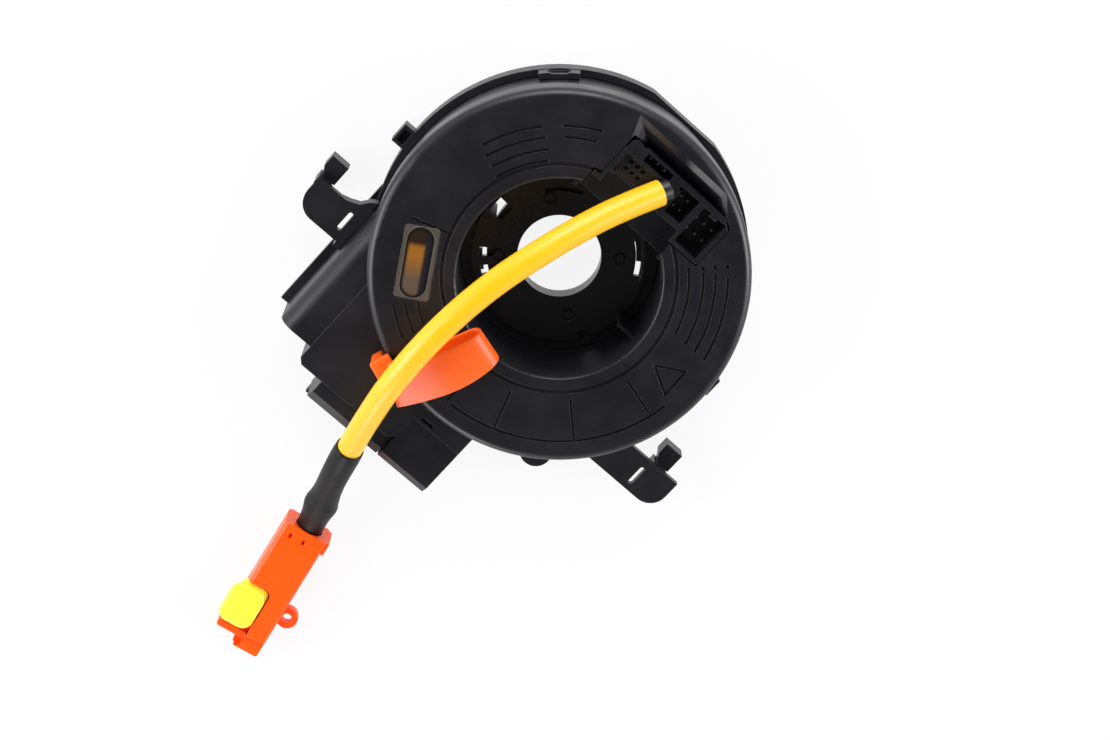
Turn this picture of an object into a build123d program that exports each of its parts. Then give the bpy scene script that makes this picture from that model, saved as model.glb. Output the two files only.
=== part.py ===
"""Steering clock spring: the spiral cable between a steering column and its wheel.

The base plate and the drum case stay with the column.  The rotor turns with the wheel and
carries the switch connector, the airbag lead and the cancel cam.  Between drum and rotor a
flat cable is wound, and a carrier with four rollers leads its turn-back loop round.

Units are millimetres.  +Z is the steering axis towards the driver and the origin lies on that
axis in the plane of the base plate's back, which is also the plane the part rests on.  +Y is
the twelve o'clock side, where the switch connector stands.
"""
import os
from math import cos, hypot, radians, sin, tan

from build123d import *

os.makedirs("parts", exist_ok=True)

# --- Heights above the base plate's back ---------------------------------------------------
face_height = 34.0          # rotor face
bowl_depth = 27.0           # rotor face down to the hub's floor
rim_height = 7.0            # top of the base plate's rim
drum_height = 27.0          # top of the drum's wall
box_height = 23.0           # top of the harness box
pocket_depth = 12.0         # rotor face down to the connector pocket's shelf
skirt_depth = 9.0           # rotor face down to the skirt's edge

# --- Radii ---------------------------------------------------------------------------------
ring_radius = 55.0          # outside of the rotor's skirt
bowl_radius = 29.4          # inside of the rotor's bowl
lip_radius = 33.0           # outside of the lip round the bowl
bore_radius = 12.4          # steering shaft bore in the hub
rim_radius = 55.9           # outside of the base plate's rim
neck_radius = 24.8          # opening in the base plate

# --- Wall thicknesses ----------------------------------------------------------------------
base_wall = 2.4
drum_wall = 1.5
skirt_wall = 1.0
face_wall = 2.5
bowl_wall = 1.6
hub_wall = 2.0
shelf_wall = 1.4
box_wall = 1.8

# --- Clearances ----------------------------------------------------------------------------
run_gap = 0.3               # between parts that turn past each other
seat_gap = 0.15             # between parts that are snapped or plugged together

# --- Flat cable ----------------------------------------------------------------------------
cable_width = 15.5          # along the steering axis
cable_layer = 0.35          # one layer of the flat cable
inner_turns = 8             # layers wound on the rotor
outer_turns = 7             # layers lying against the drum
roller_radius = 6.2
roller_count = 4
window_skew = 3.7           # the window is turned this much from the tangent
window_angle = 215.0        # the window stands over the turn-back loop at the centre position
window_radius = 40.8

# --- Values worked out from them -----------------------------------------------------------
floor_top = face_height - bowl_depth
face_under = face_height - face_wall
shelf_top = face_height - pocket_depth
shelf_under = shelf_top - shelf_wall
skirt_edge = face_height - skirt_depth
drum_outer = ring_radius - skirt_wall - run_gap
drum_inner = drum_outer - drum_wall
rim_inner = drum_outer + seat_gap
bowl_outer = bowl_radius + bowl_wall


def ring(outer, inner):
    """Add a flat ring to the sketch in hand."""
    Circle(outer)
    Circle(inner, mode=Mode.SUBTRACT)


def sector(inner, outer, start, end, mode=Mode.ADD):
    """Add the part of a flat ring between two angles to the sketch in hand."""
    with BuildLine() as edge:
        far = CenterArc((0, 0), outer, start, end - start)
        near = CenterArc((0, 0), inner, start, end - start)
        Line(near @ 0, far @ 0)
        Line(near @ 1, far @ 1)
    make_face(edge.edges(), mode=mode)


def arc_slot(radius, width, start, end, mode=Mode.ADD):
    """Add a slot, given by its middle radius, that follows a circle round the steering axis."""
    sector(radius - width / 2, radius + width / 2, start, end, mode)


def on_circle(radius, angle):
    """Return the point at a radius and an angle round the steering axis."""
    return (radius * cos(radians(angle)), radius * sin(radians(angle)))


def block(x_low, x_high, y_low, y_high, mode=Mode.ADD):
    """Add a rectangle, given by its edges, to the sketch in hand."""
    with Locations(((x_low + x_high) / 2, (y_low + y_high) / 2)):
        Rectangle(x_high - x_low, y_high - y_low, mode=mode)


def outline(points, mode=Mode.ADD):
    """Add a face with straight edges through the points to the sketch in hand."""
    with BuildLine() as edge:
        Polyline(points, close=True)
    make_face(edge.edges(), mode=mode)


# ===========================================================================================
# Base plate: the tray with the mounting arms, fixed to the column switch
# ===========================================================================================
collar_radius = 27.4        # thickened collar round the opening
collar_low = 1.6            # the rotor's snap hooks catch under the collar
collar_top = 3.4
flat_edge = 54.6            # flat on the rim at twelve o'clock

box_left = -50.0            # edges of the harness box
box_step = -38.5
box_split = -2.0
box_right = 15.6
duct_front = -66.0
box_front = -71.8

arm_top = 12.0
arm_wall = 2.6
arm_near = -28.1            # the arms' edge on the side of the claws
arm_far = -39.5
claw_centre = 66.3          # claws' distance from the steering axis, sideways
arm_reach_left = claw_centre + 2.1
arm_reach_right = claw_centre + 6.9
arm_corner = 6.0
root_wall = 2.4
arm_slot_length = 6.6
arm_slot_width = 1.5
arm_slot_inset = 1.9        # slot's centre line from the arm's root
claw_width = 6.0
claw_length = 6.6
claw_low = 1.5
claw_top = 8.0
claw_bevel = 1.8
web_width = 4.7
web_wall = 2.4

snap_angle = 132.0          # snap tower on the rim
snap_top = 13.0
notch_width = 5.0
lug_reach = 3.7             # lugs on the rim stand out this far
ear_radius = 5.0            # rounded ear on the rim at the lower right
ear_angle = -54.6


def claw(centre):
    """Add a claw's outline, with its lead-in bevel, to the sketch in hand."""
    left = centre - claw_width / 2
    right = centre + claw_width / 2
    end = arm_near + claw_length
    outline([
        (left + claw_bevel, arm_near),
        (right, arm_near),
        (right, end),
        (left, end),
        (left, arm_near + claw_bevel * 1.5),
    ])


with BuildPart() as base_plate:
    with BuildSketch(Plane.XY):
        Circle(rim_radius)
        block(box_left - root_wall, box_right, duct_front, -20)
        block(box_step, box_right, box_front, -20)
        block(-rim_radius, rim_radius, flat_edge, rim_radius + 1, mode=Mode.SUBTRACT)
        Circle(neck_radius, mode=Mode.SUBTRACT)
    extrude(amount=base_wall)
    # collar, with room for the hooks below it
    with BuildSketch(Plane.XY):
        ring(collar_radius, neck_radius)
    extrude(amount=collar_low, mode=Mode.SUBTRACT)
    with BuildSketch(Plane.XY.offset(collar_low)):
        ring(collar_radius, neck_radius)
    extrude(amount=collar_top - collar_low)
    # rim round the foot of the drum, open where the harness box stands
    with BuildSketch(Plane.XY):
        ring(rim_radius, rim_inner)
        block(-rim_radius, rim_radius, flat_edge, rim_radius + 1, mode=Mode.SUBTRACT)
        block(box_left - seat_gap, box_right + seat_gap, -rim_radius - 1, -15, mode=Mode.SUBTRACT)
    extrude(amount=rim_height)
    # snap tower at the upper left, with its notch and window
    with BuildSketch(Plane.XY.offset(base_wall / 2)):
        sector(rim_inner + 0.1, rim_radius - 0.2, snap_angle - 6.2, snap_angle + 6.2)
        with Locations(Location((*on_circle(rim_radius + 0.4, snap_angle), 0), snap_angle)):
            Rectangle(2.0, notch_width, mode=Mode.SUBTRACT)
    extrude(amount=snap_top - base_wall / 2)
    with BuildSketch(Plane.XY.offset(rim_height + 1.2)):
        sector(rim_inner - 1, rim_radius + 1, snap_angle - 3.4, snap_angle + 3.4)
    extrude(amount=3.0, mode=Mode.SUBTRACT)
    # raised root of the right arm and the wall that carries the left one
    with BuildSketch(Plane.XY):
        sector(rim_inner + 0.1, rim_radius - 0.1, 313, 331)
        block(box_left - root_wall, box_left - seat_gap, arm_far - 1.5, arm_near + 3)
    extrude(amount=arm_top)
    # arms
    with BuildSketch(Plane.XY.offset(arm_top - arm_wall)):
        block(-arm_reach_left, box_left - root_wall / 2, arm_far, arm_near)
        fillet(vertices().group_by(Axis.X)[0].sort_by(Axis.Y)[0], arm_corner)
    extrude(amount=arm_wall)
    with BuildSketch(Plane.XY.offset(arm_top - arm_wall)):
        block(40, arm_reach_right, arm_far, arm_near)
        fillet(vertices().group_by(Axis.X)[-1].sort_by(Axis.Y)[0], arm_corner)
        Circle(rim_inner + 0.4, mode=Mode.SUBTRACT)
    extrude(amount=arm_wall)
    with BuildSketch(Plane.XY.offset(arm_top - arm_wall)):
        with Locations((box_left - root_wall - arm_slot_inset, (arm_near + arm_far) / 2 + 0.6),
                       (claw_centre - 4.2, (arm_near + arm_far) / 2 - 0.5)):
            SlotOverall(arm_slot_length, arm_slot_width, rotation=90)
    extrude(amount=arm_wall, mode=Mode.SUBTRACT)
    # curved web between the left arm and its root
    with BuildSketch(Plane.XY.offset(arm_top - arm_wall - 2)):
        outline([
            (box_left - root_wall - 7.5, arm_near - 0.5),
            (box_left - seat_gap - 0.3, arm_near - 0.5),
            (box_left - seat_gap - 0.3, arm_near + 5.6),
            (box_left - root_wall, arm_near + 4.2),
            (box_left - root_wall - 2.0, arm_near + 1.6),
            (box_left - root_wall - 4.6, arm_near + 0.4),
        ])
    extrude(amount=arm_wall + 2)
    # claws under the arms
    with BuildSketch(Plane.XY.offset(claw_low)):
        claw(-claw_centre)
        claw(claw_centre)
    extrude(amount=claw_top - claw_low)
    with BuildSketch(Plane.XY.offset(claw_low)):
        for side in (-1, 1):
            with Locations((side * claw_centre, arm_near - web_wall / 2)):
                Rectangle(web_width, web_wall)
    extrude(amount=arm_top - claw_low)
    # lugs on the rim
    with BuildSketch(Plane.XY.offset(1.2)):
        block(-rim_radius - lug_reach, -rim_inner * 0.7, -6.8, -0.5)
        block(rim_inner * 0.7, rim_radius + lug_reach + 2.2, -2.6, 3.4)
        Circle(rim_inner + 0.4, mode=Mode.SUBTRACT)
    extrude(amount=rim_height - 1.2)
    with BuildSketch(Plane.XY.offset(rim_height)):
        block(-rim_radius - lug_reach + 1.0, -rim_radius - 0.4, -5.8, -1.5)
    extrude(amount=-3.0, mode=Mode.SUBTRACT)
    with BuildSketch(Plane.XY):
        with Locations(on_circle(rim_radius + ear_radius + 1, ear_angle)):
            Circle(ear_radius)
        with Locations(Location((*on_circle(rim_radius, ear_angle), 0), ear_angle)):
            Rectangle(2 * ear_radius + 2, 2 * ear_radius - 0.6)
        Circle(rim_inner + 0.4, mode=Mode.SUBTRACT)
    extrude(amount=rim_height - 2)
base_plate.part.label = "base_plate"
export_step(base_plate.part, "parts/base_plate.step")

# ===========================================================================================
# Drum case: the wall round the cable and the harness box
# ===========================================================================================
duct_top = 22.4
duct_round = 5.0            # long rounded edge of the duct
box_bevel = 1.6
slot_near_drum = -60.7      # small slot in the box's top, beside the second socket
latch_reach = 3.0
bay_back = -62.3            # back of the bay for the second socket
shroud_left = -28.8
shroud_front = -79.6
shroud_top = 20.5
shroud_bevel = 3.0
cavity_back = -66.0
socket_wall = 1.9           # between a socket and what is behind or beside it
cavity_low = 6.0
cavity_top = 17.5
cable_exit_start = 254.0    # gap in the drum's wall where the cable passes into the box
cable_exit_end = 263.0

with BuildPart() as drum_case:
    with BuildSketch(Plane.XY.offset(base_wall)):
        Circle(drum_outer)
        block(box_step, box_split, box_front, 0)
        block(box_step, box_right, bay_back, 0)
    extrude(amount=box_height - base_wall)
    # duct with a rounded edge at the left of the box
    with BuildSketch(Plane.XZ.offset(-duct_front)):
        with Locations(((box_left + box_step) / 2 + 0.5, (base_wall + duct_top) / 2)):
            Rectangle(box_step - box_left + 1, duct_top - base_wall)
        fillet(vertices().group_by(Axis.X)[0].sort_by(Axis.Y)[-1], duct_round)
    extrude(amount=duct_front)
    chamfer(edges().filter_by(Axis.Z).group_by(Axis.Y)[0], box_bevel)
    # shroud of the main harness socket
    with BuildSketch(Plane.XY.offset(base_wall)):
        block(shroud_left, box_split, shroud_front, box_front)
    extrude(amount=shroud_top - base_wall)
    chamfer(edges().filter_by(Axis.X).group_by(Axis.Y)[0].sort_by(Axis.Z)[-1], shroud_bevel)
    # latch under the shroud's mouth
    with BuildSketch(Plane.XY.offset(base_wall)):
        block(shroud_left + 0.4, shroud_left + 9.4, shroud_front - latch_reach, shroud_front + 0.5)
    extrude(amount=cavity_low - base_wall - 0.4)
    # drum
    with BuildSketch(Plane.XY.offset(base_wall)):
        Circle(drum_outer)
    extrude(amount=drum_height - base_wall)
    # hollow of the box, outside the drum
    with BuildSketch(Plane.XY.offset(base_wall)):
        block(box_step + box_wall, box_split - box_wall, cavity_back + socket_wall, -30)
        block(box_step + box_wall, box_right - box_wall, bay_back + box_wall, -30)
        block(box_left + box_wall, box_step - box_wall, duct_front + box_wall, -20)
        Circle(drum_outer, mode=Mode.SUBTRACT)
    extrude(amount=duct_top - duct_round - base_wall, mode=Mode.SUBTRACT)
    # hollow of the drum
    with BuildSketch(Plane.XY.offset(base_wall)):
        Circle(drum_inner)
    extrude(amount=drum_height - base_wall, mode=Mode.SUBTRACT)
    with BuildSketch(Plane.XY.offset(base_wall)):
        sector(drum_inner - 1, drum_outer + 1, cable_exit_start, cable_exit_end)
    extrude(amount=cable_width + 2, mode=Mode.SUBTRACT)
    # socket
    with BuildSketch(Plane.XY.offset(cavity_low)):
        block(shroud_left + box_wall, box_split - box_wall, shroud_front, cavity_back)
    extrude(amount=cavity_top - cavity_low, mode=Mode.SUBTRACT)
    with BuildSketch(Plane.XY.offset(box_height)):
        with Locations((2.4, slot_near_drum)):
            Rectangle(4.2, 0.9)
    extrude(amount=-1.5, mode=Mode.SUBTRACT)
drum_case.part.label = "drum_case"
export_step(drum_case.part, "parts/drum_case.step")

# second harness socket, clipped into the bay beside the shroud
second_front = -78.6
with BuildPart() as harness_socket:
    with BuildSketch(Plane.XY.offset(base_wall)):
        block(box_split + seat_gap, box_right, second_front, bay_back - seat_gap)
    extrude(amount=box_height - base_wall)
    chamfer(edges().filter_by(Axis.X).group_by(Axis.Y)[0].sort_by(Axis.Z)[-1], 2.2)
    with BuildSketch(Plane.XY.offset(cavity_low - 1)):
        block(box_split + socket_wall, box_right - socket_wall, second_front, cavity_back)
    extrude(amount=box_height - 2 - cavity_low, mode=Mode.SUBTRACT)
harness_socket.part.label = "harness_socket"
export_step(harness_socket.part, "parts/harness_socket.step")

# contact pins of both harness sockets
pin_size = 0.8
pin_length = 5.5
with BuildPart() as main_pins:
    with BuildSketch(Plane.XZ.offset(-cavity_back)):
        with Locations(((shroud_left + box_split) / 2, (cavity_low + cavity_top) / 2)):
            with GridLocations(3.6, 4.5, 6, 2):
                Rectangle(pin_size, pin_size)
    extrude(amount=pin_length)
main_pins.part.label = "main_pins"
export_step(main_pins.part, "parts/main_pins.step")

with BuildPart() as second_pins:
    with BuildSketch(Plane.XZ.offset(-cavity_back)):
        with Locations(((box_split + box_right) / 2, (cavity_low + box_height - 3) / 2)):
            with GridLocations(3.4, 5.0, 4, 2):
                Rectangle(pin_size, pin_size)
    extrude(amount=pin_length)
second_pins.part.label = "second_pins"
export_step(second_pins.part, "parts/second_pins.step")

# ===========================================================================================
# Flat cable, its end blocks and the slip sheet under it
# ===========================================================================================
sheet_wall = 0.25
carrier_low = base_wall + sheet_wall + run_gap
carrier_top = carrier_low + 1.2
cable_low = carrier_top + seat_gap
cable_top = cable_low + cable_width
layer_pitch = cable_layer + 0.02
inner_pack = bowl_outer + run_gap + inner_turns * layer_pitch
outer_face = drum_inner - run_gap
outer_pack = outer_face - outer_turns * layer_pitch

with BuildPart() as slip_sheet:
    with BuildSketch(Plane.XY.offset(base_wall)):
        ring(outer_face, bowl_outer + run_gap)
    extrude(amount=sheet_wall)
slip_sheet.part.label = "slip_sheet"
export_step(slip_sheet.part, "parts/slip_sheet.step")

with BuildPart() as cable_on_drum:
    with BuildSketch(Plane.XY.offset(cable_low)):
        ring(outer_face, outer_pack)
    extrude(amount=cable_width)
    # edges of the single layers
    with BuildSketch(Plane.XY.offset(cable_top)):
        for turn in range(1, outer_turns):
            ring(outer_pack + turn * layer_pitch + 0.06, outer_pack + turn * layer_pitch - 0.06)
    extrude(amount=-0.4, mode=Mode.SUBTRACT)
cable_on_drum.part.label = "cable_on_drum"
export_step(cable_on_drum.part, "parts/cable_on_drum.step")

with BuildPart() as cable_on_hub:
    with BuildSketch(Plane.XY.offset(cable_low)):
        ring(inner_pack, bowl_outer + run_gap)
    extrude(amount=cable_width)
cable_on_hub.part.label = "cable_on_hub"
export_step(cable_on_hub.part, "parts/cable_on_hub.step")
print("inner pack", inner_pack, "outer pack", outer_pack)

# ===========================================================================================
# Rotor: face, skirt and bowl in one moulding
# ===========================================================================================
edge_round = 2.4
lip_groove = 1.2
groove_depth = 0.8
groove_width = 0.8
ledge_low = 2.9
ledge_top = 3.8
ledge_radius = 27.8
chord = 23.0                # front of the connector tower, across the bowl
pocket_limit = drum_inner - run_gap - shelf_wall
scoop_rise = 29.0           # the hollow behind the connector rises from here to the face
window_length = 18.0
window_width = 6.5
window_frame_length = 22.0
window_frame_width = 10.5
window_step = 1.1
lock_angle = 250.0          # where the transport lock enters the skirt
lock_pin_radius = 1.2
lock_pin_height = 29.3

panel_radius = 48.6         # outer edge of the engraved panels
panel_line = 0.7
mark_line = 0.8
mark_outline = [(45.8, 4.6), (36.6, -0.6), (46.2, -5.8)]     # triangle that shows straight ahead

pocket_outline = [
    (-14.5, chord),
    (16.5, chord),
    (16.5, 28.7),
    (26.3, 28.7),
    (26.3, 43.0),
    (23.2, 45.2),
    (-12.3, 45.2),
    (-12.3, 31.0),
    (-14.5, 31.0),
]

# hollow behind the connector: its floor rises to the face in steps of growing breadth
scoop_levels = [            # share of the rise, left, right, back, back's left, back's right
    (0.00, -6.8, 21.8, 45.0, -7.2, 17.0),
    (0.45, -8.6, 22.8, 46.9, -9.5, 17.6),
    (0.78, -10.4, 23.8, 48.8, -12.4, 18.1),
    (1.03, -12.3, 24.8, 51.0, -15.4, 18.6),
]
with BuildPart() as scoop:
    for share, left, right, back, back_left, back_right in scoop_levels:
        with BuildSketch(Plane.XY.offset(scoop_rise + share * (face_height - scoop_rise))):
            outline([(left, 43.4), (right, 43.4), (back_right, back - 0.6), (back_left, back)])
    loft(ruled=True)

window_spot = Location((*on_circle(window_radius, window_angle), 0),
                       window_angle + 90 - window_skew)

with BuildPart() as rotor_face:
    with BuildSketch(Plane.XZ):
        with BuildLine():
            Polyline([
                (bowl_radius, face_height - edge_round / 3),
                (bowl_radius, ledge_top),
                (ledge_radius, ledge_top),
                (ledge_radius, ledge_low),
                (bowl_outer, ledge_low),
                (bowl_outer, face_under),
                (ring_radius - skirt_wall, face_under),
                (ring_radius - skirt_wall, skirt_edge),
                (ring_radius, skirt_edge),
                (ring_radius, face_height - edge_round),
            ])
            RadiusArc((ring_radius, face_height - edge_round),
                      (ring_radius - edge_round, face_height), -edge_round)
            Polyline([
                (ring_radius - edge_round, face_height),
                (lip_radius + lip_groove, face_height),
                (lip_radius + lip_groove, face_height - groove_depth),
                (lip_radius, face_height - groove_depth),
                (lip_radius, face_height),
                (bowl_radius + edge_round / 3, face_height),
            ])
            RadiusArc((bowl_radius + edge_round / 3, face_height),
                      (bowl_radius, face_height - edge_round / 3), -edge_round / 3)
        make_face()
    revolve(axis=Axis.Z)
    # shell of the connector pocket
    with BuildSketch(Plane.XY.offset(shelf_under)):
        outline(pocket_outline)
        offset(amount=shelf_wall, kind=Kind.INTERSECTION)
        Circle(pocket_limit + shelf_wall, mode=Mode.INTERSECT)
        block(-40, 40, 0, chord, mode=Mode.SUBTRACT)
    extrude(amount=face_under + 0.4 - shelf_under)
    # thicker back behind the slope, above the drum
    with BuildSketch(Plane.XY.offset(drum_height + run_gap)):
        block(-18, 26, 44, ring_radius)
        Circle(ring_radius - skirt_wall / 2, mode=Mode.INTERSECT)
    extrude(amount=face_under + 0.4 - drum_height - run_gap)
    # front wall of the tower
    with BuildSketch(Plane.XY.offset(5.3)):
        block(-19, 19, chord, chord + bowl_wall)
        Circle(bowl_radius + bowl_wall / 2, mode=Mode.INTERSECT)
    extrude(amount=shelf_under + 0.4 - 5.3)
    # the pocket itself
    with BuildSketch(Plane.XY.offset(shelf_top)):
        outline(pocket_outline)
        Circle(pocket_limit, mode=Mode.INTERSECT)
        block(-14.5, 16.5, chord - 4, chord + 1)
    extrude(amount=pocket_depth + 1, mode=Mode.SUBTRACT)
    add(scoop.part, mode=Mode.SUBTRACT)
    # grooves on the face
    with BuildSketch(Plane.XY.offset(face_height)):
        for radius, start, end in [(34.7, 163, 137), (37.9, 162, 136), (41.3, 162, 137),
                                   (44.6, 161, 138), (41.3, 130, 117), (44.6, 131, 116)]:
            arc_slot(radius, groove_width, start, end)
        for radius, start, end in [(37.0, 16, 46), (41.0, 14, 45), (44.5, 13, 44),
                                   (48.0, 12, 43)]:
            arc_slot(radius, groove_width, start, end)
        for radius in (41.0, 44.6, 48.0):
            arc_slot(radius, groove_width, 231, 243)
        # panels with the alignment mark
        arc_slot(panel_radius, panel_line, -9, -88)
        for angle in (-15, -43, -71, -90):
            with Locations(Location((*on_circle((lip_radius + 3 + panel_radius) / 2, angle), 0),
                                    angle)):
                Rectangle(panel_radius - lip_radius - 3, panel_line)
        with Locations(Location((*on_circle(window_radius - 1, 198.5), 0), 198.5)):
            Rectangle(11.5, panel_line)
    extrude(amount=-groove_depth, mode=Mode.SUBTRACT)
    with BuildSketch(Plane.XY.offset(face_height)):
        outline(mark_outline)
        offset(amount=-mark_line, kind=Kind.INTERSECTION, mode=Mode.SUBTRACT)
    extrude(amount=-groove_depth, mode=Mode.SUBTRACT)
    # ends of the grooves at the upper right
    with BuildSketch(Plane.XY.offset(face_height)):
        with Locations([on_circle(radius, 46.5) for radius in (37.0, 41.0, 44.5, 48.0)]):
            Circle(groove_width * 0.8)
    extrude(amount=-groove_depth, mode=Mode.SUBTRACT)
    # window over the cable
    with BuildSketch(Plane.XY.offset(face_height)):
        with Locations(window_spot):
            RectangleRounded(window_frame_length, window_frame_width, 1.0)
    extrude(amount=-window_step, mode=Mode.SUBTRACT)
    with BuildSketch(Plane.XY.offset(face_height)):
        with Locations(window_spot):
            SlotOverall(window_length, window_width)
    extrude(amount=-face_wall - 1, mode=Mode.SUBTRACT)
    # fins in the bowl
    with BuildSketch(Plane.XY.offset(7.3)):
        block(-bowl_radius - 0.5, -23.9, -1.4, -0.4)
        block(23.9, bowl_radius + 0.5, -1.4, -0.4)
    extrude(amount=shelf_top - 6.3)
    # hole for the transport lock's pin
    with BuildSketch(Plane(origin=(*on_circle(ring_radius + 2, lock_angle), lock_pin_height),
                           z_dir=(*on_circle(-1, lock_angle), 0))):
        Circle(lock_pin_radius + run_gap)
    extrude(amount=4.5, mode=Mode.SUBTRACT)
rotor_face.part.label = "rotor_face"
export_step(rotor_face.part, "parts/rotor_face.step")

# lens over the cable window
with BuildPart() as window_lens:
    with BuildSketch(Plane.XY.offset(face_height - window_step)):
        with Locations(window_spot):
            RectangleRounded(window_frame_length - 2 * seat_gap,
                             window_frame_width - 2 * seat_gap, 0.9)
    extrude(amount=window_step - 0.1)
    with BuildSketch(Plane.XY.offset(face_under)):
        with Locations(window_spot):
            SlotOverall(window_length - 2 * seat_gap, window_width - 2 * seat_gap)
    extrude(amount=face_wall - window_step)
window_lens.part.label = "window_lens"
export_step(window_lens.part, "parts/window_lens.step")

# ===========================================================================================
# Rotor hub: the floor of the bowl, with the shaft bore and the snap hooks
# ===========================================================================================
hub_low = floor_top - hub_wall
hub_radius = bowl_radius - seat_gap
hook_radius = neck_radius - 0.5
hook_wall = 1.5
hook_reach = 1.9
hook_angles = [45, 135, 225, 315]
sleeve_wall = 1.7
post_x = 13.9
post_y = 11.6
post_radius = 1.2
raised_radius = 26.0

with BuildPart() as rotor_hub:
    with BuildSketch(Plane.XZ):
        outline([
            (bore_radius, 0),
            (bore_radius + sleeve_wall, 0),
            (bore_radius + sleeve_wall, hub_low),
            (hook_radius + 0.1, hub_low),
            (hook_radius + 0.1, ledge_top),
            (hub_radius, ledge_top),
            (hub_radius, hub_low + 0.2),
            (raised_radius, hub_low + 0.2),
            (raised_radius, floor_top),
            (bore_radius, floor_top),
        ])
    revolve(axis=Axis.Z)
    # flat under the tower
    with BuildSketch(Plane.XY.offset(hub_low + 0.2)):
        block(-30, 30, chord - 0.1, 32)
    extrude(amount=floor_top, mode=Mode.SUBTRACT)
    # seats of the cam's posts
    with BuildSketch(Plane.XY.offset(floor_top)):
        with GridLocations(2 * post_x, 2 * post_y, 2, 2):
            Circle(post_radius + 0.9)
    extrude(amount=-0.8, mode=Mode.SUBTRACT)
    with BuildSketch(Plane.XY.offset(floor_top)):
        with GridLocations(2 * post_x, 2 * post_y, 2, 2):
            Circle(post_radius + 0.1)
        arc_slot(20.4, 1.4, 112, 144)
        arc_slot(23.4, 1.6, 27, 53)
        sector(20.0, 24.6, 176, 189)
        sector(19.6, 23.6, 215, 222)
        sector(19.6, 23.6, 229, 236)
        with Locations(Location((*on_circle(25.4, 328), 0), 328)):
            Rectangle(3.0, 3.0)
    extrude(amount=-hub_wall - 1, mode=Mode.SUBTRACT)
    # low wall round the slot at the upper right
    with BuildSketch(Plane.XY.offset(floor_top - 0.4)):
        sector(24.7, 25.8, 24, 56)
    extrude(amount=2.0)
    # snap hooks reaching under the base plate's collar
    with BuildSketch(Plane.XY.offset(0.2)):
        for angle in hook_angles:
            sector(hook_radius - hook_wall, hook_radius, angle - 8, angle + 8)
    extrude(amount=hub_low + 0.3)
    with BuildSketch(Plane.XY.offset(0.2)):
        for angle in hook_angles:
            sector(hook_radius - 0.3, hook_radius + hook_reach, angle - 7.9, angle + 7.9)
    extrude(amount=collar_low - run_gap - 0.2)
rotor_hub.part.label = "rotor_hub"
export_step(rotor_hub.part, "parts/rotor_hub.step")

# cam under the hub that cancels the indicator
cam_low = 1.3
cam_inner = bore_radius + sleeve_wall + 0.3
with BuildPart() as cancel_cam:
    with BuildSketch(Plane.XY.offset(cam_low)):
        Circle(21.5)
        for angle in (90, 270):
            sector(18, 23.6, angle - 13, angle + 13)
        Circle(cam_inner, mode=Mode.SUBTRACT)
    extrude(amount=hub_low - 0.2 - cam_low)
    with BuildSketch(Plane.XY.offset(cam_low + 0.5)):
        with GridLocations(2 * post_x, 2 * post_y, 2, 2):
            Circle(post_radius)
    extrude(amount=floor_top + 0.2 - cam_low - 0.5)
cancel_cam.part.label = "cancel_cam"
export_step(cancel_cam.part, "parts/cancel_cam.step")

# ===========================================================================================
# Switch connector and the lead's plug, standing in the rotor's pocket
# ===========================================================================================
switch_top = face_height
switch_depth = 10.0         # depth of the sockets
switch_pin_length = 5.0
switch_pin_size = 0.6
tongue_width = 2.7
boss_spot = (-9.6, 42.8)    # round boss at the connector's corner
boss_radius = 2.1

with BuildPart() as switch_connector:
    with BuildSketch(Plane.XY.offset(shelf_top)):
        outline([(-12.0, 33.0), (15.4, 33.0), (15.4, 44.8), (-6.6, 44.8), (-12.0, 41.2)])
        with Locations(boss_spot):
            Circle(boss_radius)
        block(-12.0, -10.6, 29.2, 33.5)
        block(-14.0, -10.6, 29.2, 30.6)
        outline([(15.2, 29.2), (26.0, 29.2), (26.0, 42.4), (22.8, 44.8), (15.2, 44.8)])
    extrude(amount=switch_top - shelf_top)
    # slim socket along the back
    with BuildSketch(Plane.XY.offset(switch_top)):
        block(-5.7, 3.8, 41.4, 44.0)
        block(8.4, 14.4, 34.8, 43.4)
        block(7.2, 8.5, 42.0, 43.4)
        block(16.4, 24.6, 30.3, 43.2)
        with Locations((20.25, 43.2)):
            Rectangle(tongue_width, 2.2, mode=Mode.SUBTRACT)
    extrude(amount=-switch_depth, mode=Mode.SUBTRACT)
    # bay of the airbag plug
    with BuildSketch(Plane.XY.offset(switch_top)):
        block(-10.2, 7.4 - 0.6, 33.8, 40.3)
    extrude(amount=-9.5, mode=Mode.SUBTRACT)
    with BuildSketch(Plane.XY.offset(switch_top - 4)):
        block(-9.0, 6.0, 32.0, 34.5)
    extrude(amount=5, mode=Mode.SUBTRACT)
switch_connector.part.label = "switch_connector"
export_step(switch_connector.part, "parts/switch_connector.step")

switch_pin_spots = [(17.6, 38.8), (17.6, 34.8), (20.5, 38.8), (20.5, 34.8), (23.4, 38.8),
                    (23.4, 34.8), (10.2, 37.0), (12.6, 37.0), (10.2, 40.5), (12.6, 40.5)]
with BuildPart() as switch_pins:
    with BuildSketch(Plane.XY.offset(switch_top - switch_depth)):
        with Locations(switch_pin_spots):
            Rectangle(switch_pin_size, switch_pin_size)
        with Locations((-1.0, 42.7)):
            with GridLocations(2.6, 2, 3, 1):
                Rectangle(switch_pin_size, switch_pin_size)
    extrude(amount=switch_pin_length)
switch_pins.part.label = "switch_pins"
export_step(switch_pins.part, "parts/switch_pins.step")

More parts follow.
